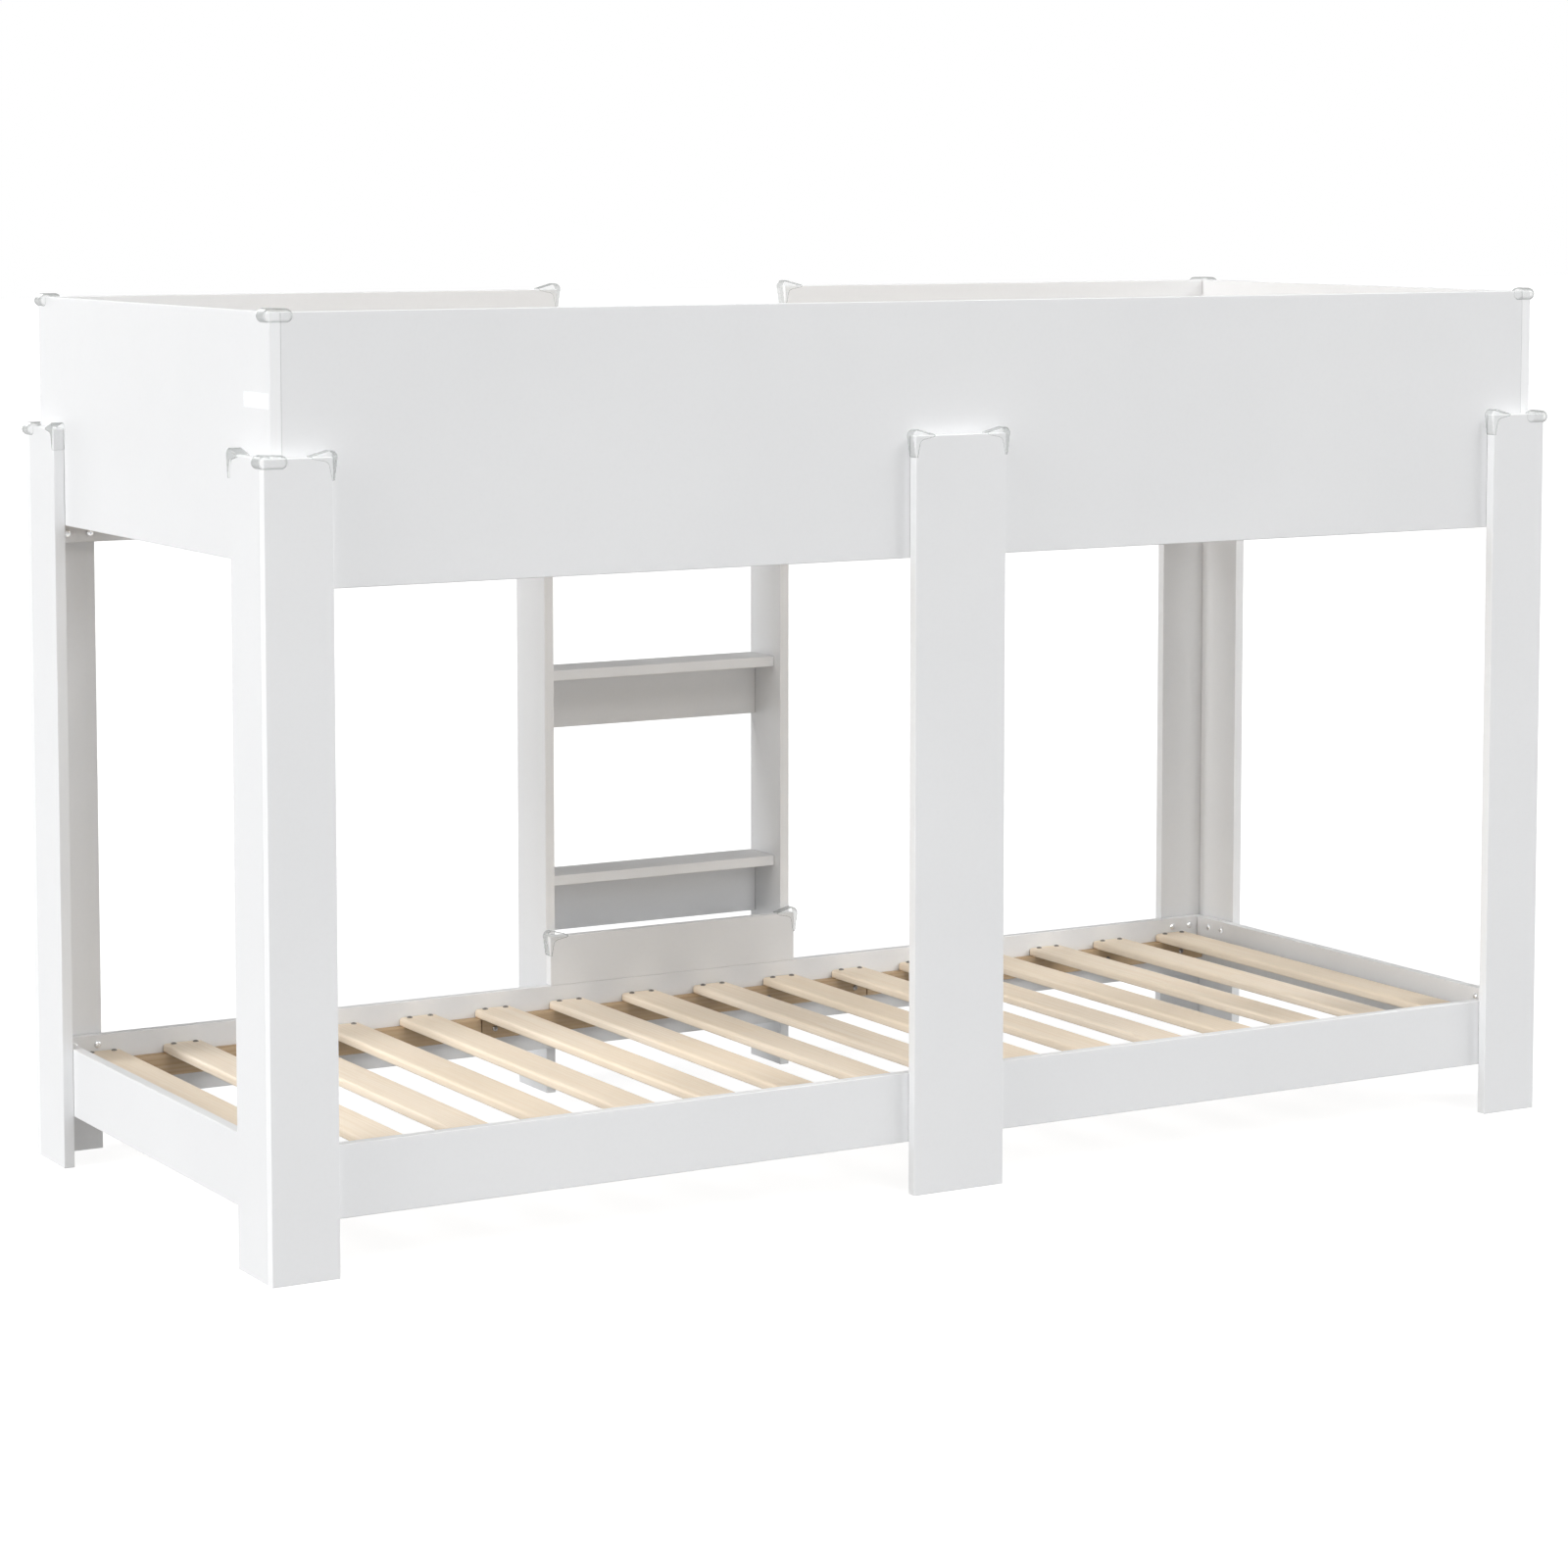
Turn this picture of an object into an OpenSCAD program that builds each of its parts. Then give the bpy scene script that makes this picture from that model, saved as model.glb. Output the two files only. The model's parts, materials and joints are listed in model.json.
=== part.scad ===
// Low bunk bed with a fixed ladder, built from coated boards and slatted bases.
// Millimetres, +Z up. X runs along the bed, the open near side faces -Y and the
// ladder stands on the +Y side. Every board is a plain rectangle, drilled only
// for its own screws, dowels and cam fittings.

/* [Mattress] */
// Length of the mattress that each bunk takes
mattress_l = 1900; // [1800:10:2000]
// Width of the mattress that each bunk takes
mattress_w = 750; // [700:10:900]
// Slack left along the mattress
slack_l = 5; // [2:1:20]
// Slack left across the mattress
slack_w = 4; // [2:1:20]

/* [Boards] */
// Thickness of every coated board
board_t = 15; // [15:1:18]
// Height of the legs and of the ladder stiles
leg_h = 1003; // [980:1:1060]
// Width of a corner leg board and of a ladder stile
leg_w = 90; // [90:1:120]
// Width of the leg in the middle of the near side
middle_leg_w = 139; // [125:1:200]

/* [Upper box] */
// Height of the box's top edge above the floor
box_top = 1177; // [1170:1:1300]
// Height of the near long panel
front_panel_h = 334; // [320:1:350]
// Height of the two end panels
end_panel_h = 304; // [290:1:310]

/* [Lower frame] */
// Height of a rail
rail_h = 92; // [88:1:110]
// Height of the lower rails' bottom edge above the floor
lower_rail_z = 70; // [50:1:120]

/* [Slatted bases] */
// Number of slats in each base
slat_count = 16; // [12:1:16]
// Width of a slat
slat_w = 58; // [50:1:65]
// Thickness of a slat
slat_t = 12; // [10:1:14]
// Distance from one slat to the next
slat_pitch = 120; // [100:1:120]
// Depth of the slats' tops below the rail's top edge
slat_drop = 22; // [18:1:30]
// Depth of a batten, away from its rail
batten_d = 16; // [14:1:25]
// Height of a batten
batten_h = 30; // [26:1:34]
// Length of the middle length of batten
middle_batten_l = 648; // [640:1:655]

/* [Ladder] */
// Clear width between the stiles
ladder_w = 381; // [340:1:420]
// Height of the first tread's top above the floor
first_tread_z = 317.5; // [300:0.5:330]
// Distance from one tread to the next
tread_pitch = 302.5; // [290:0.5:310]
// Depth of a tread
tread_d = 72; // [60:1:75]
// Height of the riser board under a tread
riser_h = 77; // [60:1:90]
// Height of the board that stands on the rail at the ladder's foot
foot_board_h = 72; // [60:1:90]

/* [Corner protectors] */
// How far a protector reaches along each edge
guard_reach = 28; // [24:1:40]
// How far a board-end guard rises above its board
guard_rise = 8; // [5:1:10]
// How far a protector stands out past an edge
guard_out = 5; // [4:1:7]
// Thickness of the flap on a board's face
guard_flap = 2; // [1.5:0.5:3]

/* [Hidden] */
$fn = 32;
bite = 1; // overrun of every cut past the face that it opens

box_l = mattress_l + slack_l + 2 * board_t;
box_w = mattress_w + slack_w + 2 * board_t;
far_y = box_w - board_t;
right_x = box_l - board_t;

front_panel_z = box_top - front_panel_h;
end_panel_z = box_top - end_panel_h;
guard_board_z = front_panel_z + rail_h;
lower_rail_top = lower_rail_z + rail_h;

stile_x = (box_l - ladder_w) / 2 - board_t;
tread_x = stile_x + board_t;
ladder_back = box_w + leg_w;
corner_out = guard_out + 1;
y_mid = (ladder_back + guard_out - board_t - corner_out) / 2;
tread_tops = [first_tread_z, first_tread_z + tread_pitch];

// Height of each base's slat tops above the bottom edge of its rails
slat_top = rail_h - slat_drop;
batten_z = slat_top - slat_t - batten_h;
first_slat_x = (box_l - (slat_count - 1) * slat_pitch - slat_w) / 2;
slat_l = mattress_w + slack_w - 2;
batten_gap = 2;
batten_end = 1;
bases = [lower_rail_z, front_panel_z];

// Screws that hold the rails and panels to the legs, driven from inside
screw_d = 4.5;
screw_l = 27;
screw_head_d = 10;
screw_head_h = 3;
long_side_offsets = [30, 63];
end_side_offsets = [47, 79.5];
middle_leg_offset = 50;
lower_rows = [lower_rail_z + 13, lower_rail_top - 13];
long_rows = [front_panel_z + 13, leg_h - 18];
end_rows = [end_panel_z + 14, leg_h - 18];
corner_xs = concat(long_side_offsets, [for (x = long_side_offsets) box_l - x]);
middle_xs = [box_l / 2 - middle_leg_offset, box_l / 2 + middle_leg_offset];
corner_ys = concat(end_side_offsets, [for (y = end_side_offsets) box_w - y]);

// Rotations that turn +Z towards each side of the bed
to_far = [-90, 0, 0];
to_near = [90, 0, 0];
to_right = [0, 90, 0];
to_left = [0, -90, 0];
down = [180, 0, 0];

near_screws = [for (x = concat(corner_xs, middle_xs), z = concat(lower_rows, long_rows))
    [[x, board_t, z], to_far]];
far_screws = [for (x = corner_xs, z = concat(lower_rows, long_rows)) [[x, far_y, z], to_near]];
left_screws = [for (y = corner_ys, z = concat(lower_rows, end_rows)) [[board_t, y, z], to_right]];
right_screws = [for (y = corner_ys, z = concat(lower_rows, end_rows)) [[right_x, y, z], to_left]];

// Screws that hold the battens, and the slats on them
small_screw_d = 3.5;
small_head_d = 8;
small_head_h = 2.2;
batten_screw_l = batten_d + 9;
slat_screw_l = slat_t + 18;
slat_screw_edge = 12.75;
slat_screw_y = 9;
batten_screw_z = batten_z + batten_h / 2 - 1;
batten_cut_x = (box_l - middle_batten_l) / 2;
outer_batten_screws = [42.5, batten_cut_x - board_t - batten_gap - 19];
middle_batten_screws = [batten_cut_x + 20, box_l / 2];
batten_screw_gaps = 4;
outer_screw_step = (outer_batten_screws[1] - outer_batten_screws[0]) / batten_screw_gaps;
middle_screw_step = (middle_batten_screws[1] - middle_batten_screws[0]) * 2 / batten_screw_gaps;
left_batten_xs = [for (i = [0:batten_screw_gaps])
    board_t + outer_batten_screws[0] + i * outer_screw_step];
middle_batten_xs = [for (i = [0:batten_screw_gaps])
    middle_batten_screws[0] + i * middle_screw_step];
batten_xs = concat(left_batten_xs, middle_batten_xs, [for (x = left_batten_xs) box_l - x]);
near_batten_screws = [for (x = batten_xs, base = bases)
    [[x, board_t + batten_d, base + batten_screw_z], to_far]];
far_batten_screws = [for (x = batten_xs, base = bases)
    [[x, far_y - batten_d, base + batten_screw_z], to_near]];

// Bolts that hold the stiles, driven through the rear boards into the stiles' edges
bolt_d = 6;
bolt_l = board_t + 40;
bolt_head_d = 12;
bolt_head_h = 3.5;
stile_centres = [stile_x + board_t / 2, box_l - stile_x - board_t / 2];
bolt_rows = [lower_rail_z + 14, front_panel_z + 14, leg_h - 18];
ladder_bolt_places = [for (x = stile_centres, z = bolt_rows) [[x, far_y, z], to_near]];

// Dowels: the short end goes into a board's face and the long end into an edge
dowel_d = 8;
dowel_short = 9;
dowel_long = 22;
leg_dowel_zs = [230, 520, 770];
corner_dowel_zs = [lower_rail_z + rail_h / 2, end_panel_z + 19, box_top - 147];
guard_dowel_xs = [for (i = [1:3]) board_t + i * (tread_x - board_t) / 4];
leg_dowels = [for (x = [-board_t / 2, box_l + board_t / 2], z = leg_dowel_zs, far = [false, true])
    [[x, far ? box_w : 0, z], far ? to_near : to_far]];
corner_dowels = [for (y = [board_t / 2, box_w - board_t / 2], z = corner_dowel_zs, right = [false, true])
    [[right ? right_x : board_t, y, z], right ? to_left : to_right]];
guard_dowels = [for (x = guard_dowel_xs, right = [false, true])
    [[right ? box_l - x : x, box_w - board_t / 2, guard_board_z], [0, 0, 0]]];
foot_dowels = concat(
    [for (x = stile_centres) [[x, box_w, lower_rail_top + foot_board_h / 2], to_far]],
    [for (x = [box_l / 2 - ladder_w / 3, box_l / 2 + ladder_w / 3])
        [[x, box_w - board_t / 2, lower_rail_top], [0, 0, 0]]]);
riser_y = ladder_back - board_t / 2;
tread_dowels = [for (top = tread_tops, right = [false, true],
        yz = [[ladder_back - tread_d * 0.7, -board_t / 2], [riser_y, -board_t - riser_h * 0.75]])
    [[right ? box_l - tread_x : tread_x, yz[0], top + yz[1]], right ? to_left : to_right]];
riser_dowels = [for (top = tread_tops, x = [box_l / 2 - ladder_w / 4, box_l / 2 + ladder_w / 4])
    [[x, riser_y, top - board_t], down]];
dowel_places = concat(leg_dowels, corner_dowels, guard_dowels, foot_dowels, tread_dowels, riser_dowels);

// Cam fittings: a disc let into the board's face grips a steel pin in its end
cam_d = 15;
cam_deep = 12;
cam_slot = 3;
cam_in = 24;
pin_d = 6;
pin_short = 9;
pin_gap = 0.5;
cam_zs = [guard_board_z - 15, box_top - 67];
riser_cam_z = -board_t - riser_h * 0.35;
cam_disc_places = concat(
    [for (z = cam_zs, x = [board_t + cam_in, right_x - cam_in]) [[x, board_t, z], to_far]],
    [for (z = cam_zs, x = [board_t + cam_in, right_x - cam_in]) [[x, far_y, z], to_near]],
    [for (top = tread_tops, x = [tread_x + cam_in, box_l - tread_x - cam_in])
        [[x, ladder_back, top + riser_cam_z], to_far]]);
cam_pin_places = concat(
    [for (z = cam_zs, y = [board_t / 2, box_w - board_t / 2], right = [false, true])
        [[right ? right_x : board_t, y, z], right ? to_left : to_right]],
    [for (top = tread_tops, right = [false, true])
        [[right ? box_l - tread_x : tread_x, riser_y, top + riser_cam_z], right ? to_left : to_right]]);

// Blank label on the left end panel
label_l = 76;
label_h = 19;
label_t = 0.5;
label_edge = 2;
label_z = box_top - 116;

function slat_x(i) = first_slat_x + (i - 1) * slat_pitch;
function slat_name(i) = str("lower_slat_", i < 10 ? "0" : "", i);

// Moves the bed's own corner-based coordinates to the centre of its footprint
module placed() {
    translate([-box_l / 2, -y_mid, 0]) children();
}

// Repeats a shape at the other end of the bed
module both_ends() {
    children();
    translate([box_l, 0, 0]) mirror([1, 0, 0]) children();
}

// Repeats a shape on the other long side of the bed
module both_sides() {
    children();
    translate([0, box_w, 0]) mirror([0, 1, 0]) children();
}

module at(places) {
    for (place = places) translate(place[0]) rotate(place[1]) children();
}

// Cross-headed screw or bolt with its head's underside at z = 0
module screw(d, l, head_d, head_h) {
    r = head_d / 2;
    difference() {
        union() {
            translate([0, 0, -l]) cylinder(d = d, h = l + head_h / 2);
            rotate_extrude() polygon([
                [0, 0], [r, 0], [r, head_h * 0.35], [r * 0.86, head_h * 0.7],
                [r * 0.6, head_h * 0.93], [r * 0.25, head_h], [0, head_h]]);
        }
        for (turn = [0, 90]) rotate(turn)
            translate([-r * 0.5, -r * 0.1, head_h * 0.45]) cube([r, r * 0.2, head_h]);
    }
}

module shank(d, l) {
    translate([0, 0, -l]) cylinder(d = d, h = l + bite);
}

module dowel() {
    translate([0, 0, -dowel_short]) cylinder(d = dowel_d, h = dowel_short + dowel_long);
}

// Disc of a cam fitting, flush with the board and turned by its cross slot
module cam_disc() {
    difference() {
        cam_disc_hole(0);
        for (turn = [0, 90]) rotate(turn)
            translate([-cam_d * 0.3, -cam_d * 0.05, -cam_slot]) cube([cam_d * 0.6, cam_d * 0.1, 2 * cam_slot]);
    }
}

module cam_disc_hole(over) {
    translate([0, 0, -cam_deep]) cylinder(d = cam_d, h = cam_deep + over);
}

module cam_pin() {
    translate([0, 0, -pin_short]) cylinder(d = pin_d, h = pin_short + cam_in - cam_d / 2 - pin_gap);
}

// The pin's hole opens into its disc's hole
module cam_pin_hole() {
    translate([0, 0, -pin_short]) cylinder(d = pin_d, h = pin_short + cam_in);
}

// Holes shared by every coated board
module fixing_holes() {
    at(dowel_places) dowel();
    at(cam_disc_places) cam_disc_hole(bite);
    at(cam_pin_places) cam_pin_hole();
}

module near_holes() {
    fixing_holes();
    at(near_screws) shank(screw_d, screw_l);
    at(near_batten_screws) shank(small_screw_d, batten_screw_l);
}

module far_holes() {
    fixing_holes();
    at(far_screws) shank(screw_d, screw_l);
    at(far_batten_screws) shank(small_screw_d, batten_screw_l);
    at(ladder_bolt_places) shank(bolt_d, bolt_l);
}

module end_holes() {
    fixing_holes();
    at(concat(left_screws, right_screws)) shank(screw_d, screw_l);
}

// Coated board from one corner to the opposite one, less the holes given as children
module board(low, high) {
    color("whitesmoke") placed() difference() {
        translate(low) cube(high - low);
        children();
    }
}

module upper_front_panel() {
    board([board_t, 0, front_panel_z], [right_x, board_t, box_top]) near_holes();
}

module end_panel(x) {
    board([x, 0, end_panel_z], [x + board_t, box_w, box_top]) end_holes();
}

module upper_left_end_panel() {
    end_panel(0);
}

module upper_right_end_panel() {
    end_panel(right_x);
}

module upper_rear_rail() {
    board([board_t, far_y, front_panel_z], [right_x, box_w, guard_board_z]) far_holes();
}

module guard_board(x) {
    board([x, far_y, guard_board_z], [x + tread_x - board_t, box_w, box_top]) far_holes();
}

module upper_left_guard() {
    guard_board(board_t);
}

module upper_right_guard() {
    guard_board(box_l - tread_x);
}

// Leg board that faces the long side
module leg_long_board(x, y) {
    board([x, y, 0], [x + leg_w, y + board_t, leg_h]) {
        near_holes();
        far_holes();
    }
}

// Leg board that faces the end of the bed and butts against the other one
module leg_end_board(x, y) {
    board([x, y, 0], [x + board_t, y + leg_w, leg_h]) end_holes();
}

module leg_near_left_front() {
    leg_long_board(-board_t, -board_t);
}

module leg_near_left_end() {
    leg_end_board(-board_t, 0);
}

module leg_near_right_front() {
    leg_long_board(box_l + board_t - leg_w, -board_t);
}

module leg_near_right_end() {
    leg_end_board(box_l, 0);
}

module leg_far_left_rear() {
    leg_long_board(-board_t, box_w);
}

module leg_far_left_end() {
    leg_end_board(-board_t, box_w - leg_w);
}

module leg_far_right_rear() {
    leg_long_board(box_l + board_t - leg_w, box_w);
}

module leg_far_right_end() {
    leg_end_board(box_l, box_w - leg_w);
}

module leg_middle() {
    x = (box_l - middle_leg_w) / 2;
    board([x, -board_t, 0], [x + middle_leg_w, 0, leg_h]) near_holes();
}

module stile(x) {
    board([x, box_w, 0], [x + board_t, ladder_back, leg_h]) far_holes();
}

module ladder_left_stile() {
    stile(stile_x);
}

module ladder_right_stile() {
    stile(box_l - stile_x - board_t);
}

module tread(top) {
    board([tread_x, ladder_back - tread_d, top - board_t], [tread_x + ladder_w, ladder_back, top])
        fixing_holes();
}

module riser(top) {
    board([tread_x, ladder_back - board_t, top - board_t - riser_h],
          [tread_x + ladder_w, ladder_back, top - board_t]) fixing_holes();
}

module ladder_lower_tread() {
    tread(tread_tops[0]);
}

module ladder_upper_tread() {
    tread(tread_tops[1]);
}

module ladder_lower_riser() {
    riser(tread_tops[0]);
}

module ladder_upper_riser() {
    riser(tread_tops[1]);
}

// Board standing on the lower rear rail between the ladder and the bunk
module ladder_foot_board() {
    board([stile_x, far_y, lower_rail_top], [box_l - stile_x, box_w, lower_rail_top + foot_board_h])
        fixing_holes();
}

module lower_front_rail() {
    board([board_t, 0, lower_rail_z], [right_x, board_t, lower_rail_top]) near_holes();
}

module lower_rear_rail() {
    board([board_t, far_y, lower_rail_z], [right_x, box_w, lower_rail_top]) far_holes();
}

module lower_end_rail(x) {
    board([x, 0, lower_rail_z], [x + board_t, box_w, lower_rail_top]) end_holes();
}

module lower_left_rail() {
    lower_end_rail(0);
}

module lower_right_rail() {
    lower_end_rail(right_x);
}

// Both rows of slat screws of one base
module slat_screw_places(base) {
    for (i = [1:slat_count], edge = [slat_screw_edge, slat_w - slat_screw_edge],
         y = [board_t + slat_screw_y, far_y - slat_screw_y])
        translate([slat_x(i) + edge, y, base + slat_top]) children();
}

// Three lengths of batten end to end along one rail
module battens(base, y) {
    joints = [board_t + batten_end, batten_cut_x, box_l - batten_cut_x, right_x - batten_end];
    starts = [joints[0], joints[1], joints[2] + batten_gap];
    ends = [joints[1] - batten_gap, joints[2], joints[3]];
    color("burlywood") placed() difference() {
        for (i = [0:2]) translate([starts[i], y, base + batten_z])
            cube([ends[i] - starts[i], batten_d, batten_h]);
        slat_screw_places(base) shank(small_screw_d, slat_screw_l);
        at(concat(near_batten_screws, far_batten_screws)) shank(small_screw_d, batten_screw_l);
    }
}

module lower_near_battens() {
    battens(bases[0], board_t);
}

module lower_far_battens() {
    battens(bases[0], far_y - batten_d);
}

module upper_near_battens() {
    battens(bases[1], board_t);
}

module upper_far_battens() {
    battens(bases[1], far_y - batten_d);
}

// Outline of a slat's end, with its long edges rounded
module slat_outline() {
    r = slat_t * 0.4;
    translate([r, 0]) square([slat_w - 2 * r, slat_t]);
    translate([0, r]) square([slat_w, slat_t - 2 * r]);
    for (x = [r, slat_w - r], z = [r, slat_t - r]) translate([x, z]) circle(r);
}

module slat(i, base) {
    color("wheat") placed() difference() {
        translate([slat_x(i), board_t + 1 + slat_l, base + slat_top - slat_t])
            rotate([90, 0, 0]) linear_extrude(slat_l) slat_outline();
        slat_screw_places(base) shank(small_screw_d, slat_screw_l);
    }
}

module lower_slat(i) {
    slat(i, bases[0]);
}

module upper_slats() {
    for (i = [1:slat_count]) slat(i, bases[1]);
}

// Side outline of a board-end guard: the board fills the corner x > 0, z < 0
module board_end_outline() {
    r = guard_rise;
    inner_r = 9;
    polygon(concat(
        [[guard_reach, 1.2]],
        [for (a = [90:9:180]) [r - guard_out + r * cos(a), r * sin(a)]],
        [[-1.2, -guard_reach], [1.5, -guard_reach]],
        [for (a = [180:-9:90]) [4.5 + inner_r + inner_r * cos(a), -4.5 - inner_r + inner_r * sin(a)]],
        [[guard_reach, -1.5]]));
}

// Guard over a board's free top corner, with a flap on the outer face only or on both
module board_end_guard(both_faces = false) {
    deep = guard_flap + board_t + (both_faces ? guard_flap : 0);
    difference() {
        translate([0, deep - guard_flap, 0]) rotate([90, 0, 0]) linear_extrude(deep) board_end_outline();
        translate([0, 0, -2 * guard_reach])
            cube([2 * guard_reach, both_faces ? board_t : board_t + bite, 2 * guard_reach]);
    }
}

module board_end_guards() {
    color("lightgray") placed() both_ends() {
        both_sides() {
            translate([leg_w - board_t, -board_t, leg_h]) mirror([1, 0, 0]) board_end_guard();
            translate([-board_t, leg_w, leg_h]) rotate(-90) board_end_guard();
        }
        translate([(box_l - middle_leg_w) / 2, -board_t, leg_h]) board_end_guard();
        translate([tread_x, far_y, box_top]) mirror([1, 0, 0]) board_end_guard(true);
        translate([stile_x, far_y, lower_rail_top + foot_board_h]) board_end_guard();
        translate([stile_x, ladder_back, leg_h]) rotate(-90) board_end_guard(true);
    }
}

// Ball with facets at its poles and on its equator, so that its size is exact
module bead(r) {
    rotate_extrude($fn = 24) polygon([for (a = [-90:15:90]) [r * cos(a), r * sin(a)]]);
}

// Rounded guard over the corner where two boards meet, which fill x > 0, y > 0, z < 0
module corner_guard() {
    r = 8.5;
    plate = 4;
    near = r - corner_out;
    arm = guard_reach + corner_out / 2 - r;
    difference() {
        hull() for (spot = [[near, near], [arm, near], [near, arm]])
            translate([spot[0], spot[1], plate - r]) bead(r);
        translate([0, 0, -2 * guard_reach]) cube(2 * guard_reach);
    }
}

module corner_guards() {
    color("lightgray") placed() both_ends() both_sides() {
        translate([0, 0, box_top]) corner_guard();
        difference() {
            translate([-board_t, -board_t, leg_h]) corner_guard();
            translate([0, 0, leg_h - leg_w]) cube([leg_w, leg_w, 2 * leg_w]);
        }
    }
}

module blank_label() {
    color("white") placed() translate([-label_t, label_edge, label_z]) cube([label_t, label_l, label_h]);
}

module frame_screws() {
    color("silver") placed() at(concat(near_screws, far_screws, left_screws, right_screws))
        screw(screw_d, screw_l, screw_head_d, screw_head_h);
}

module batten_screws() {
    color("silver") placed() at(concat(near_batten_screws, far_batten_screws))
        screw(small_screw_d, batten_screw_l, small_head_d, small_head_h);
}

module slat_screws(base) {
    color("silver") placed() slat_screw_places(base)
        screw(small_screw_d, slat_screw_l, small_head_d, small_head_h);
}

module lower_slat_screws() {
    slat_screws(bases[0]);
}

module upper_slat_screws() {
    slat_screws(bases[1]);
}

module ladder_bolts() {
    color("silver") placed() at(ladder_bolt_places) screw(bolt_d, bolt_l, bolt_head_d, bolt_head_h);
}

module dowels() {
    color("tan") placed() at(dowel_places) dowel();
}

module cam_discs() {
    color("gray") placed() at(cam_disc_places) cam_disc();
}

module cam_pins() {
    color("silver") placed() at(cam_pin_places) cam_pin();
}

upper_front_panel();
upper_left_end_panel();
upper_right_end_panel();
upper_rear_rail();
upper_left_guard();
upper_right_guard();
leg_near_left_front();
leg_near_left_end();
leg_near_right_front();
leg_near_right_end();
leg_far_left_rear();
leg_far_left_end();
leg_far_right_rear();
leg_far_right_end();
leg_middle();
ladder_left_stile();
ladder_right_stile();
ladder_lower_tread();
ladder_upper_tread();
ladder_lower_riser();
ladder_upper_riser();
ladder_foot_board();
lower_front_rail();
lower_rear_rail();
lower_left_rail();
lower_right_rail();
lower_near_battens();
lower_far_battens();
upper_near_battens();
upper_far_battens();
for (i = [1:slat_count]) lower_slat(i);
upper_slats();
board_end_guards();
corner_guards();
blank_label();
frame_screws();
batten_screws();
lower_slat_screws();
upper_slat_screws();
ladder_bolts();
dowels();
cam_discs();
cam_pins();
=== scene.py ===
"""Looks for the low bunk bed: coated white boards, pine slats, clear corner guards and zinc screws."""

import json
import math

import bmesh
import bpy
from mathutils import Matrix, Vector


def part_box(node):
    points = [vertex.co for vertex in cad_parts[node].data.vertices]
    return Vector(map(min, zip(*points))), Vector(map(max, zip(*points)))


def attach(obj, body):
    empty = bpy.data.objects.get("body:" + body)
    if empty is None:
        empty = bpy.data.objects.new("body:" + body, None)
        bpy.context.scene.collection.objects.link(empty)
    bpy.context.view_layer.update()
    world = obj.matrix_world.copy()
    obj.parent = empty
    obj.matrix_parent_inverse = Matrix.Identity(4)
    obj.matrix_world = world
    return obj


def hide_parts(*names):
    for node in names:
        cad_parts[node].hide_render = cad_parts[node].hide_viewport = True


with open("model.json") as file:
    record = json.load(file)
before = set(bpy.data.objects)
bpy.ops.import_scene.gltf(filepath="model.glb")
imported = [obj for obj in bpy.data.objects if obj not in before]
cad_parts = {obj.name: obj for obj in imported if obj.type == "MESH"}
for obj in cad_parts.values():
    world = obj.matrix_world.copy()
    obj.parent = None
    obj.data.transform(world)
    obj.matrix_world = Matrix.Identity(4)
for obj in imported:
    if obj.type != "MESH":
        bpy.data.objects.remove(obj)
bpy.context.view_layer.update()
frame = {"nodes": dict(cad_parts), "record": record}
NODES = frame["nodes"]

MM = 0.001
BODY = "root"

# Camera: where it stands in metres, how far it turns and dips in degrees, and its lens in mm. It is a long
# lens, a little above the top of the bed, off the near side's left corner.
CAMERA_AT = (-2.9296, -5.0163, 1.3321)
CAMERA_TURN = 30.204
CAMERA_DIP = 5.045
CAMERA_LENS = 95.63
CAMERA_SHIFT = -0.15

# Wide suns: how many degrees across they all are, and for each the way it comes from, turned from the near
# side towards the left end, its height above the horizon, both in degrees, and its strength
SUN_WIDTH = 30
SUNS = {"left_low": (90, 10, 1.12), "left_high": (90, 35, 1.52), "corner_high": (60, 35, 0.61),
        "front_low": (0, 10, 0.5), "front_high": (0, 35, 0.88), "right_high": (-60, 35, 1.63),
        "right_low": (-90, 10, 0.45), "back_low": (180, 10, 0.95)}

# Light from the surroundings: what shiny surfaces mirror, and what matt ones get from a band just below the
# horizon that goes down to this share of straight down
MIRRORED = 0.5
LOW_GLOW = 0.6
GLOW_DEPTH = 0.5

# How far long edges are rounded
BOARD_ROUND = 1.0 * MM
BATTEN_ROUND = 0.6 * MM
LABEL_ROUND = 0.15 * MM
SLAT_EASE = 0.9 * MM

# The guards' skins: how finely they are remade, and how far they swell
GUARD_VOXEL = 1.0 * MM
GUARD_SWELL = 0.3 * MM

# How near another board has to be for painted shade to darken a joint or inner corner, and how near two
# corners have to be to become one
SHADE_REACH = 4 * MM
WELD = 0.01 * MM

# Screws that hold slats and battens, whose heads get painted shade from a darker copy of the plated steel
WOOD_SCREWS = ("lower_slat_screws", "upper_slat_screws", "batten_screws")


# ---------------------------------------------------------------- node helpers

def add(tree, kind, inputs=None, **settings):
    """A new shader node, with its settings made and its inputs set or linked."""
    made = tree.nodes.new(kind)
    for name, value in settings.items():
        setattr(made, name, value)
    for name, value in (inputs or {}).items():
        if isinstance(value, bpy.types.NodeSocket):
            tree.links.new(value, made.inputs[name])
        else:
            made.inputs[name].default_value = value
    return made


def maths(tree, operation, a, b=0.0, c=0.0):
    return add(tree, "ShaderNodeMath", {0: a, 1: b, 2: c}, operation=operation).outputs[0]


def vector_maths(tree, operation, a, b):
    return add(tree, "ShaderNodeVectorMath", {0: a, 1: b}, operation=operation).outputs[0]


def noise(tree, place, scale, detail=2.0, roughness=0.5, distortion=0.0):
    made = add(tree, "ShaderNodeTexNoise", {"Vector": place, "Scale": scale, "Detail": detail,
                                            "Roughness": roughness, "Distortion": distortion})
    return made.outputs["Fac"]


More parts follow.
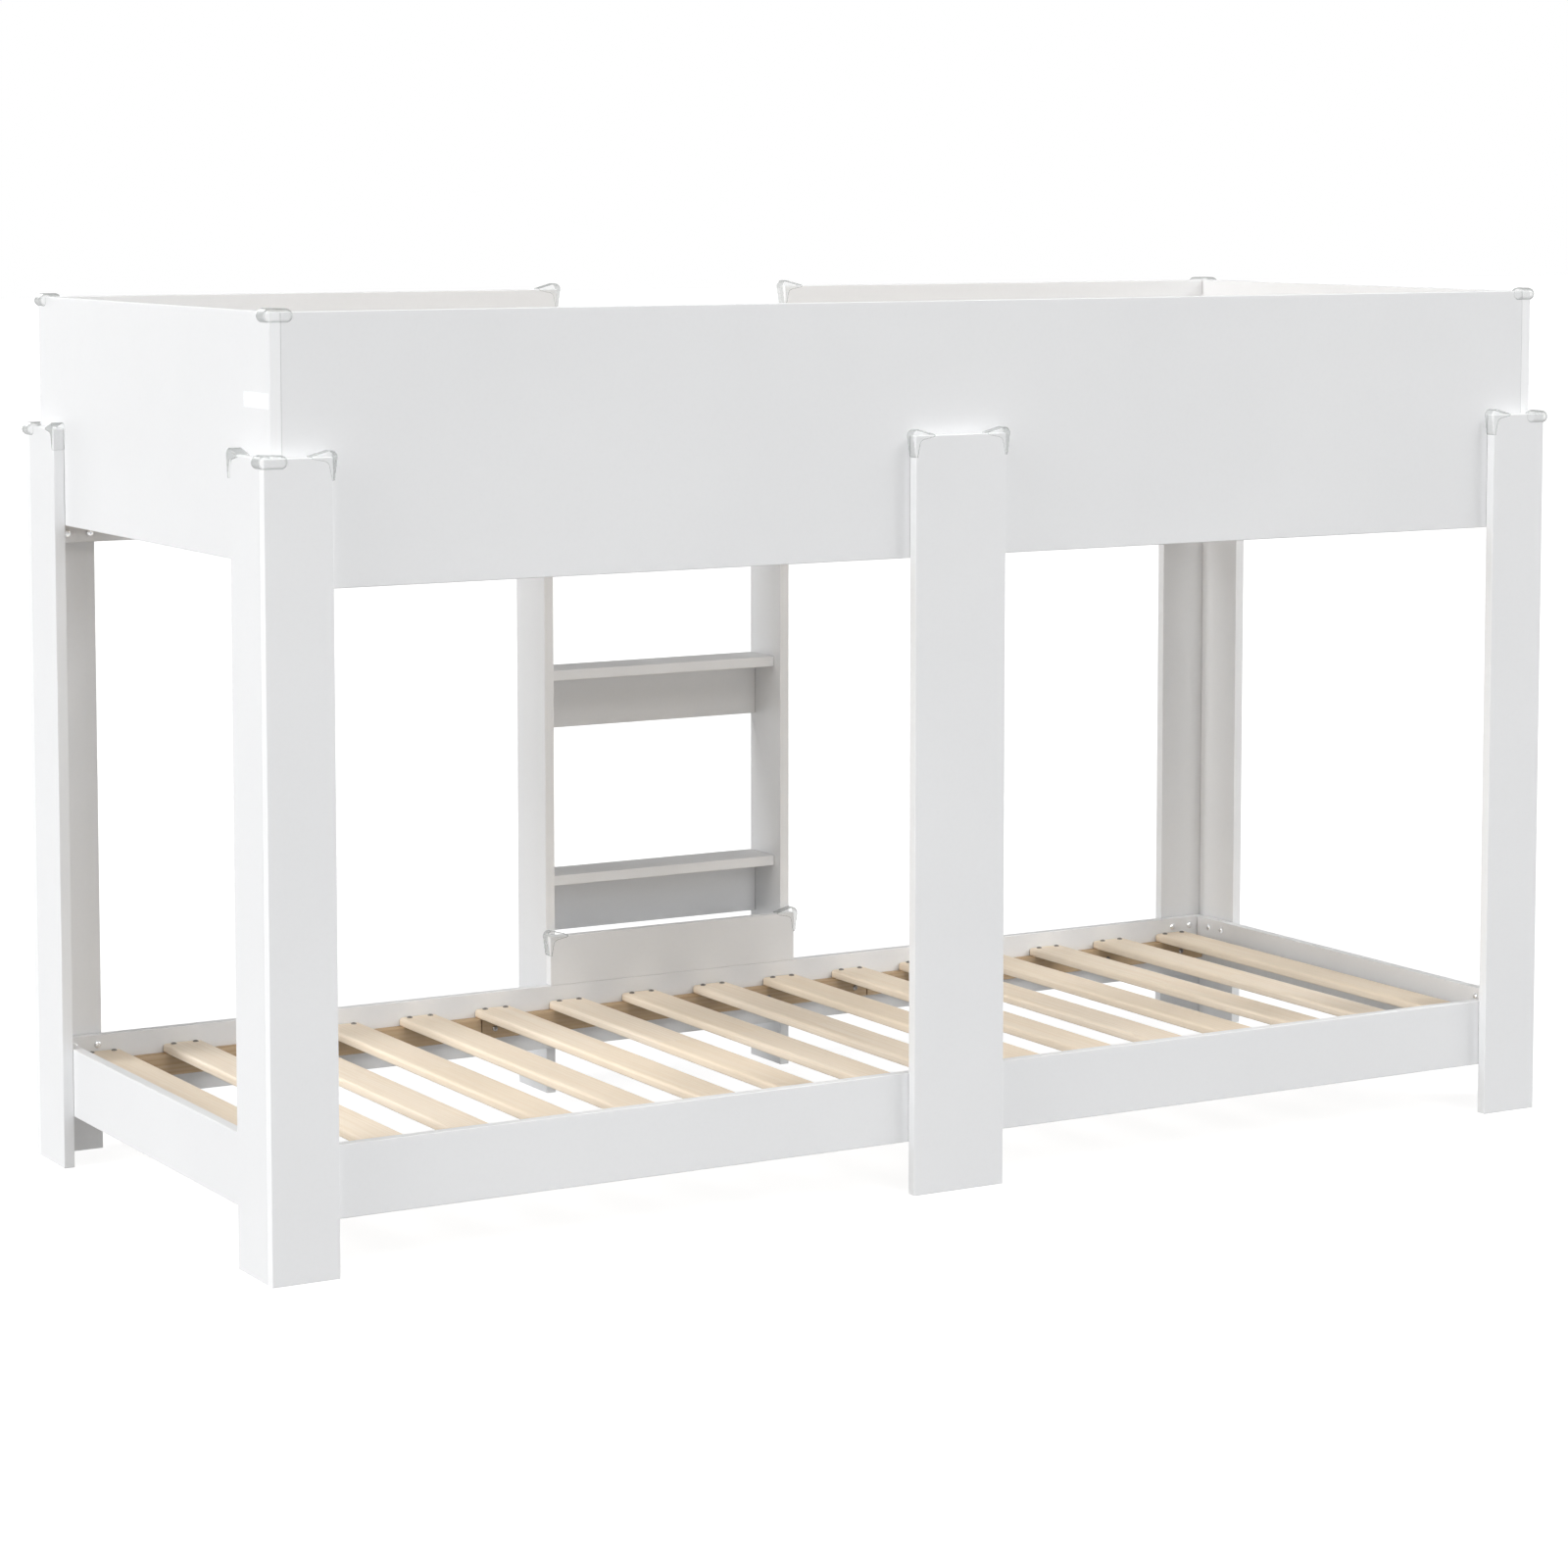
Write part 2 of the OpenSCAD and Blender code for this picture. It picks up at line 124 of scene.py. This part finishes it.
def spread(tree, value, low, high, from_low=0.0, from_high=1.0):
    """Maps a value from one range to another."""
    return add(tree, "ShaderNodeMapRange", {"Value": value, "From Min": from_low, "From Max": from_high,
                                            "To Min": low, "To Max": high}).outputs["Result"]


def mix(tree, share, a, b, blend="MIX"):
    """Mixes two colours."""
    made = add(tree, "ShaderNodeMix", data_type="RGBA", blend_type=blend)
    for name, value in (("Factor_Float", share), ("A_Color", a), ("B_Color", b)):
        socket = next(s for s in made.inputs if s.identifier == name)
        if isinstance(value, bpy.types.NodeSocket):
            tree.links.new(value, socket)
        else:
            socket.default_value = value
    return next(s for s in made.outputs if s.identifier == "Result_Color")


def bump(tree, height, depth, strength=1.0, under=None):
    inputs = {"Height": height, "Distance": depth, "Strength": strength}
    if under is not None:
        inputs["Normal"] = under
    return add(tree, "ShaderNodeBump", inputs).outputs["Normal"]


def new_material(name):
    made = bpy.data.materials.new(name)
    made.use_nodes = True
    return made, made.node_tree, made.node_tree.nodes["Principled BSDF"]


def object_place(tree):
    return add(tree, "ShaderNodeTexCoord").outputs["Object"]


def wire(tree, shader, **sockets):
    """Links or sets the shader's sockets, given by name with underscores for spaces."""
    for name, value in sockets.items():
        socket = shader.inputs[name.replace("_", " ")]
        if isinstance(value, bpy.types.NodeSocket):
            tree.links.new(value, socket)
        else:
            socket.default_value = value


# ---------------------------------------------------------------- materials

def white_board(thin_axis):
    """Melamine-coated chipboard whose thickness runs along one axis.

    The faces that don't look along that axis are edge banding, a little whiter than the face and partly
    painted lighter as a painted highlight along the edges. Joints and inner corners get painted shade from
    how shut in they are."""
    made, tree, shader = new_material("white_board_" + thin_axis)
    place = object_place(tree)
    cloudy = noise(tree, place, 2.3, 3.0)
    speckle = noise(tree, place, 260.0, 2.0)
    patches = spread(tree, cloudy, 0.0, 1.0, 0.35, 0.65)
    face = mix(tree, patches, (0.787, 0.792, 0.799, 1), (0.765, 0.770, 0.778, 1))
    face = mix(tree, spread(tree, speckle, 0.0, 0.05, 0.45, 0.75), face, (0.62, 0.62, 0.62, 1))
    # Edge banding: a little whiter than the face, and partly painted lighter as a painted highlight along
    # the edges
    band_with_highlight = mix(tree, patches, (0.875, 0.88, 0.885, 1), (0.855, 0.86, 0.867, 1))
    normal = add(tree, "ShaderNodeNewGeometry").outputs["True Normal"]
    along_axis = add(tree, "ShaderNodeSeparateXYZ", {0: normal}).outputs[thin_axis]
    on_band = maths(tree, "LESS_THAN", maths(tree, "ABSOLUTE", along_axis), 0.5)
    peel = noise(tree, place, 900.0, 2.0, 0.6)
    ripple = noise(tree, place, 34.0, 2.0)
    rough = spread(tree, noise(tree, place, 14.0, 3.0), 0.34, 0.44, 0.3, 0.7)
    # Painted shade: joints and inner corners are darkened towards near black by how shut in they are
    shut_in = add(tree, "ShaderNodeAmbientOcclusion", {"Distance": SHADE_REACH}, samples=6).outputs["AO"]
    seam_shade = spread(tree, shut_in, 0.4, 0.0, 0.15, 0.5)
    colour = mix(tree, seam_shade, mix(tree, on_band, face, band_with_highlight), (0.16, 0.16, 0.16, 1))
    wire(tree, shader, Base_Color=colour, Roughness=rough,
         Normal=bump(tree, ripple, 0.00025, 0.5, bump(tree, peel, 0.00003, 0.6)))
    wire(tree, shader, Specular_IOR_Level=0.45)
    return made


def pine(name, along, cell, pale, late, ring=3.2 * MM, contrast=1.0, rough=(0.48, 0.62)):
    """Planed softwood with its growth rings round a heart that differs from piece to piece.

    along is the axis of the grain, and cell the size of the box that holds one piece."""
    made, tree, shader = new_material(name)
    place = object_place(tree)
    cells = add(tree, "ShaderNodeVectorMath", {0: place, 1: cell}, operation="DIVIDE").outputs[0]
    cells = add(tree, "ShaderNodeVectorMath", {0: cells}, operation="FLOOR").outputs[0]
    random = add(tree, "ShaderNodeTexWhiteNoise", {"Vector": cells}, noise_dimensions="3D").outputs["Color"]
    squash = {"X": (0.035, 1, 1), "Y": (1, 0.035, 1)}[along]
    middle = vector_maths(tree, "MULTIPLY", vector_maths(tree, "ADD", cells, (0.5, 0.5, 0.5)), cell)
    local = vector_maths(tree, "SUBTRACT", place, middle)
    heart = vector_maths(tree, "MULTIPLY", vector_maths(tree, "SUBTRACT", random, (0.5, 0.5, 1.5)),
                         (0.09, 0.09, 0.05))
    from_heart = vector_maths(tree, "SUBTRACT", local, heart)
    stretched = vector_maths(tree, "MULTIPLY", from_heart, squash)
    seeded = vector_maths(tree, "ADD", stretched, vector_maths(tree, "MULTIPLY", random, (7.0, 7.0, 7.0)))
    wander = noise(tree, seeded, 18.0, 2.0)
    radial = vector_maths(tree, "MULTIPLY", from_heart, {"X": (0, 1, 1), "Y": (1, 0, 1)}[along])
    distance = add(tree, "ShaderNodeVectorMath", {0: radial}, operation="LENGTH").outputs["Value"]
    rings = maths(tree, "ADD", maths(tree, "DIVIDE", distance, ring), maths(tree, "MULTIPLY", wander, 5.0))
    phase = maths(tree, "FRACT", rings)
    late_wood = maths(tree, "MULTIPLY", spread(tree, phase, 0.0, 1.0, 0.35, 0.9),
                      spread(tree, phase, 1.0, 0.0, 0.92, 1.0))
    fibre_place = vector_maths(tree, "MULTIPLY", seeded, {"X": (0.6, 1, 1), "Y": (1, 0.6, 1)}[along])
    fibres = noise(tree, fibre_place, 900.0, 3.0, 0.65)
    streaks = noise(tree, seeded, 120.0, 3.0, 0.6)
    colour = mix(tree, maths(tree, "MULTIPLY", late_wood, 0.42 * contrast), pale, late)
    colour = mix(tree, spread(tree, streaks, 0.0, 0.35 * contrast, 0.42, 0.72), colour, late)
    tint = add(tree, "ShaderNodeSeparateXYZ", {0: random}).outputs["Y"]
    warm = tuple(c * w for c, w in zip(pale, (0.97, 0.93, 0.86, 1)))
    colour = mix(tree, maths(tree, "MULTIPLY", tint, 0.6 * contrast), colour, warm)
    pores = spread(tree, fibres, 0.0, 0.3, 0.55, 0.8)
    colour = mix(tree, pores, colour, tuple(c * 0.72 for c in late[:3]) + (1,))
    ridges = maths(tree, "MULTIPLY", late_wood, 0.4)
    height = maths(tree, "ADD", maths(tree, "MULTIPLY", fibres, 0.7), ridges)
    wire(tree, shader, Base_Color=colour, Roughness=spread(tree, streaks, rough[0], rough[1], 0.3, 0.7),
         Normal=bump(tree, height, 0.00008, 0.5))
    wire(tree, shader, Specular_IOR_Level=0.35)
    return made


def plated_steel(name, bright, dull):
    """Plated steel with a faint cloudy bloom and fine scratches."""
    made, tree, shader = new_material(name)
    place = object_place(tree)
    bloom = noise(tree, place, 320.0, 3.0, 0.6)
    scratch = noise(tree, vector_maths(tree, "MULTIPLY", place, (1, 6, 1)), 1500.0, 2.0)
    colour = mix(tree, spread(tree, bloom, 0.0, 1.0, 0.35, 0.65), bright, dull)
    wire(tree, shader, Base_Color=colour, Roughness=spread(tree, bloom, 0.24, 0.38, 0.35, 0.65),
         Normal=bump(tree, scratch, 0.00002, 0.4))
    wire(tree, shader, Metallic=1.0)
    return made


def clear_plastic():
    """Clear moulded plastic, a little milky, and less clear where it is seen edge on and so is thicker."""
    made, tree, shader = new_material("clear_guard")
    place = object_place(tree)
    milk = noise(tree, place, 70.0, 2.0)
    grain = noise(tree, place, 900.0, 2.0)
    colour = mix(tree, spread(tree, milk, 0.0, 1.0, 0.3, 0.7), (0.34, 0.36, 0.35, 1), (0.30, 0.32, 0.31, 1))
    edge_on = add(tree, "ShaderNodeLayerWeight", {"Blend": 0.5}).outputs["Facing"]
    wire(tree, shader, Base_Color=colour, Roughness=spread(tree, milk, 0.08, 0.16, 0.3, 0.7),
         Normal=bump(tree, grain, 0.00002, 0.3), Alpha=spread(tree, edge_on, 0.06, 0.9, 0.2, 0.85))
    wire(tree, shader, Specular_IOR_Level=0.4)
    return made


def sticker():
    """Blank coated paper with a fine tooth."""
    made, tree, shader = new_material("label")
    place = object_place(tree)
    tooth = noise(tree, place, 1100.0, 2.0)
    patches = spread(tree, tooth, 0.0, 1.0, 0.35, 0.65)
    colour = mix(tree, patches, (0.93, 0.95, 0.965, 1), (0.90, 0.925, 0.945, 1))
    wire(tree, shader, Base_Color=colour, Roughness=spread(tree, tooth, 0.22, 0.32, 0.3, 0.7),
         Normal=bump(tree, tooth, 0.00003, 0.4))
    return made


def plain_floor():
    """Matt white studio floor that glows, so that shadows stay faint on it."""
    made, tree, shader = new_material("studio_floor")
    place = object_place(tree)
    cloudy = noise(tree, place, 0.8, 2.0)
    wire(tree, shader, Base_Color=mix(tree, cloudy, (0.33, 0.33, 0.33, 1), (0.31, 0.31, 0.31, 1)))
    wire(tree, shader, Roughness=0.9, Specular_IOR_Level=0.0,
         Emission_Color=(1, 1, 1, 1), Emission_Strength=0.86)
    return made


# ---------------------------------------------------------------- pieces

def paint(thing, made):
    """Gives a whole object one material."""
    thing.data.materials.clear()
    thing.data.materials.append(made)


def thin_axis(node):
    """The axis along which a node is thinnest."""
    low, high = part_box(node)
    sizes = high - low
    return "XYZ"[min(range(3), key=lambda i: sizes[i])]


def piece(name, mesh, made, slot, *nodes):
    """A new object in place of CAD nodes."""
    thing = bpy.data.objects.new(name, mesh)
    bpy.context.scene.collection.objects.link(thing)
    paint(thing, made)
    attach(thing, BODY)
    if nodes:
        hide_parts(*nodes)
    return thing


def ease_edges(node, made, slot, width):
    """Remakes a CAD node with its long sharp edges rounded, and leaves the rims of its bores."""
    shell = bmesh.new()
    shell.from_mesh(NODES[node].data)
    bmesh.ops.remove_doubles(shell, verts=shell.verts, dist=WELD)
    bmesh.ops.dissolve_limit(shell, angle_limit=math.radians(1), verts=shell.verts, edges=shell.edges)
    sharp = [edge for edge in shell.edges if len(edge.link_faces) == 2 and edge.calc_length() > 4 * width
             and edge.calc_face_angle() > math.radians(60)]
    bmesh.ops.bevel(shell, geom=sharp, offset=width, offset_type="OFFSET", segments=2, profile=0.5,
                    affect="EDGES", clamp_overlap=False)
    for face in shell.faces:
        face.smooth = False
    mesh = bpy.data.meshes.new(node + "_eased")
    shell.to_mesh(mesh)
    shell.free()
    return piece(node + "_eased", mesh, made, slot, node)


def slat_profile(width, thick):
    """Points round a slat's end: long edges rounded, more so above, and a top that is a little crowned."""
    upper, lower = thick * 0.36, thick * 0.22
    crown = 0.25 * MM
    steps = 6
    points = []
    for side, up, start in ((1, 1, 0), (-1, 1, 90), (-1, -1, 180), (1, -1, 270)):
        r = upper if up > 0 else lower
        for i in range(steps + 1):
            a = math.radians(start + 90 * i / steps)
            points.append((side * (width / 2 - r) + r * math.cos(a), up * (thick / 2 - r) + r * math.sin(a)))
        if side == up:
            across = width / 2 - r
            for t in (0.5, 0.0, -0.5):
                points.append((side * t * across, up * thick / 2 + crown * (1 - t * t) * (up > 0)))
    return points


def loft_slat(shell, low, high):
    """Adds one slat between two corners to a bmesh, with eased ends."""
    middle = (low + high) / 2
    profile = slat_profile(high.x - low.x, high.z - low.z)
    narrow = 1 - 2 * SLAT_EASE / (high.x - low.x)
    thin = 1 - 2 * SLAT_EASE / (high.z - low.z)
    stations = [(low.y, narrow), (low.y + SLAT_EASE, 1.0)]
    stations += [(low.y + (high.y - low.y) * i / 12, 1.0) for i in range(1, 12)]
    stations += [(high.y - SLAT_EASE, 1.0), (high.y, narrow)]
    rings = []
    for y, share in stations:
        tall = thin if share < 1 else 1.0
        rings.append([shell.verts.new((middle.x + x * share, y, middle.z + z * tall)) for x, z in profile])
    for a, b in zip(rings, rings[1:]):
        for i in range(len(profile)):
            j = (i + 1) % len(profile)
            shell.faces.new((a[j], a[i], b[i], b[j]))
    shell.faces.new(rings[0])
    shell.faces.new(list(reversed(rings[-1])))


def solid_boxes(node):
    """The corners of every separate solid in a CAD node."""
    shell = bmesh.new()
    shell.from_mesh(NODES[node].data)
    bmesh.ops.remove_doubles(shell, verts=shell.verts, dist=WELD)
    left = set(shell.verts)
    boxes = []
    while left:
        front = [left.pop()]
        low, high = front[0].co.copy(), front[0].co.copy()
        while front:
            corner = front.pop()
            low = Vector(map(min, low, corner.co))
            high = Vector(map(max, high, corner.co))
            for edge in corner.link_edges:
                other = edge.other_vert(corner)
                if other in left:
                    left.remove(other)
                    front.append(other)
        boxes.append((low, high))
    shell.free()
    return sorted(boxes, key=lambda box: tuple(box[0]))


def make_slats(node, made):
    """Remakes a node's slats with rounded edges."""
    shell = bmesh.new()
    for low, high in solid_boxes(node):
        loft_slat(shell, low, high)
    bmesh.ops.recalc_face_normals(shell, faces=shell.faces)
    mesh = bpy.data.meshes.new(node + "_wood")
    shell.to_mesh(mesh)
    shell.free()
    thing = piece(node + "_wood", mesh, made, "slat_wood", node)
    mesh.shade_smooth()
    mesh.set_sharp_from_angle(angle=math.radians(32))
    return thing


def mould_guards(node, made):
    """Remakes a node's clear guards as one soft moulded skin with rounded edges.

    It swells a little, so that its inner walls lie under the boards' faces and not right on them."""
    mesh = NODES[node].data.copy()
    thing = piece(node + "_moulded", mesh, made, "clear_guard", node)
    weld = thing.modifiers.new("weld", "WELD")
    weld.merge_threshold = WELD
    skin = thing.modifiers.new("skin", "REMESH")
    skin.mode = "VOXEL"
    skin.voxel_size = GUARD_VOXEL
    melt = thing.modifiers.new("melt", "SMOOTH")
    melt.factor = 0.5
    melt.iterations = 3
    swell = thing.modifiers.new("swell", "DISPLACE")
    swell.mid_level = 0.0
    swell.strength = GUARD_SWELL
    depsgraph = bpy.context.evaluated_depsgraph_get()
    thing.data = bpy.data.meshes.new_from_object(thing.evaluated_get(depsgraph))
    thing.modifiers.clear()
    thing.data.shade_smooth()
    thing.visible_shadow = False
    return thing


def dress_boards():
    """White boards, with one material for each way their thickness can run."""
    boards = {axis: white_board(axis) for axis in "XYZ"}
    for row in frame["record"]["subparts"]:
        if row["material_slot"] == "white_board":
            ease_edges(row["node"], boards[thin_axis(row["node"])], "white_board", BOARD_ROUND)


def dress_wood():
    """Slats, battens and dowels."""
    slat_cell = (120 * MM, 9.0, 0.5)
    slat_wood = pine("slat_pine", "Y", slat_cell, (0.915, 0.81, 0.675, 1), (0.795, 0.645, 0.47, 1))
    # Battens: partly the pine's own orange-brown, and partly painted darker as painted shade for where they
    # sit under the slats
    batten_cell = (0.65, 0.4, 0.5)
    batten_wood = pine("batten_pine_shaded", "X", batten_cell, (0.52, 0.385, 0.245, 1), (0.39, 0.245, 0.125, 1),
                       contrast=1.3, rough=(0.6, 0.75))
    dowel_wood = pine("dowel_beech", "X", (0.3, 0.1, 0.1), (0.70, 0.52, 0.34, 1), (0.55, 0.38, 0.23, 1))
    for row in frame["record"]["subparts"]:
        node, slot = row["node"], row["material_slot"]
        if slot == "slat_wood":
            make_slats(node, slat_wood)
        elif slot == "batten_wood":
            ease_edges(node, batten_wood, slot, BATTEN_ROUND)
        elif slot == "dowel_wood":
            paint(NODES[node], dowel_wood)


def dress_fittings():
    """Screws, bolts, cam fittings, guards and the label."""
    zinc = plated_steel("zinc_steel", (0.92, 0.93, 0.94, 1), (0.80, 0.81, 0.83, 1))
    # Painted shade: a darker copy of the zinc for the screws in the wood, so that their heads look shaded
    shaded_zinc = plated_steel("shaded_zinc_steel", (0.30, 0.28, 0.26, 1), (0.20, 0.19, 0.18, 1))
    guard = clear_plastic()
    for row in frame["record"]["subparts"]:
        node, slot = row["node"], row["material_slot"]
        if slot == "zinc_steel":
            paint(NODES[node], shaded_zinc if node in WOOD_SCREWS else zinc)
        elif slot == "clear_guard":
            mould_guards(node, guard)
        elif slot == "label":
            ease_edges(node, sticker(), slot, LABEL_ROUND)


# ---------------------------------------------------------------- stage

def make_camera():
    data = bpy.data.cameras.new("camera")
    data.lens = CAMERA_LENS
    data.sensor_width = 36
    data.shift_y = CAMERA_SHIFT
    camera = bpy.data.objects.new("camera", data)
    camera.location = CAMERA_AT
    camera.rotation_euler = (math.radians(90 - CAMERA_DIP), 0, math.radians(-CAMERA_TURN))
    bpy.context.scene.collection.objects.link(camera)
    bpy.context.scene.camera = camera


def make_floor():
    half = 40.0
    mesh = bpy.data.meshes.new("floor")
    corners = [(-half, -half, 0), (half, -half, 0), (half, half, 0), (-half, half, 0)]
    mesh.from_pydata(corners, [], [(0, 1, 2, 3)])
    floor = bpy.data.objects.new("floor", mesh)
    bpy.context.scene.collection.objects.link(floor)
    paint(floor, plain_floor())
    floor.visible_diffuse = False
    floor.visible_shadow = False


def soft_sun(name, turn, rise, power):
    data = bpy.data.lights.new(name + "_sun", "SUN")
    data.energy = power
    data.angle = math.radians(SUN_WIDTH)
    light = bpy.data.objects.new(name + "_sun", data)
    light.rotation_euler = (math.radians(90 - rise), 0, -math.radians(turn))
    bpy.context.scene.collection.objects.link(light)


def make_light():
    """Soft light from all sides, most from the left, and a low glow in place of the floor's bounce.

    The camera sees the surroundings as pure white."""
    world = bpy.data.worlds.new("studio")
    bpy.context.scene.world = world
    world.use_nodes = True
    tree = world.node_tree
    tree.nodes.clear()
    rays = add(tree, "ShaderNodeLightPath").outputs
    way = add(tree, "ShaderNodeTexCoord").outputs["Generated"]
    height = add(tree, "ShaderNodeSeparateXYZ", {0: way}).outputs["Z"]
    off_middle = maths(tree, "ABSOLUTE", maths(tree, "ADD", height, GLOW_DEPTH / 2))
    low_glow = maths(tree, "MULTIPLY", maths(tree, "LESS_THAN", off_middle, GLOW_DEPTH / 2), LOW_GLOW)
    for_matt = maths(tree, "SUBTRACT", low_glow, MIRRORED)
    strength = maths(tree, "MULTIPLY_ADD", rays["Is Camera Ray"], 1 - MIRRORED, MIRRORED)
    strength = maths(tree, "MULTIPLY_ADD", rays["Is Diffuse Ray"], for_matt, strength)
    glow = add(tree, "ShaderNodeBackground", {"Color": (1, 1, 1, 1), "Strength": strength})
    add(tree, "ShaderNodeOutputWorld", {"Surface": glow.outputs[0]})
    for name, (turn, rise, power) in SUNS.items():
        soft_sun(name, turn, rise, power)
    bpy.context.scene.view_settings.view_transform = "Standard"


make_camera()
make_floor()
make_light()
dress_boards()
dress_wood()
dress_fittings()
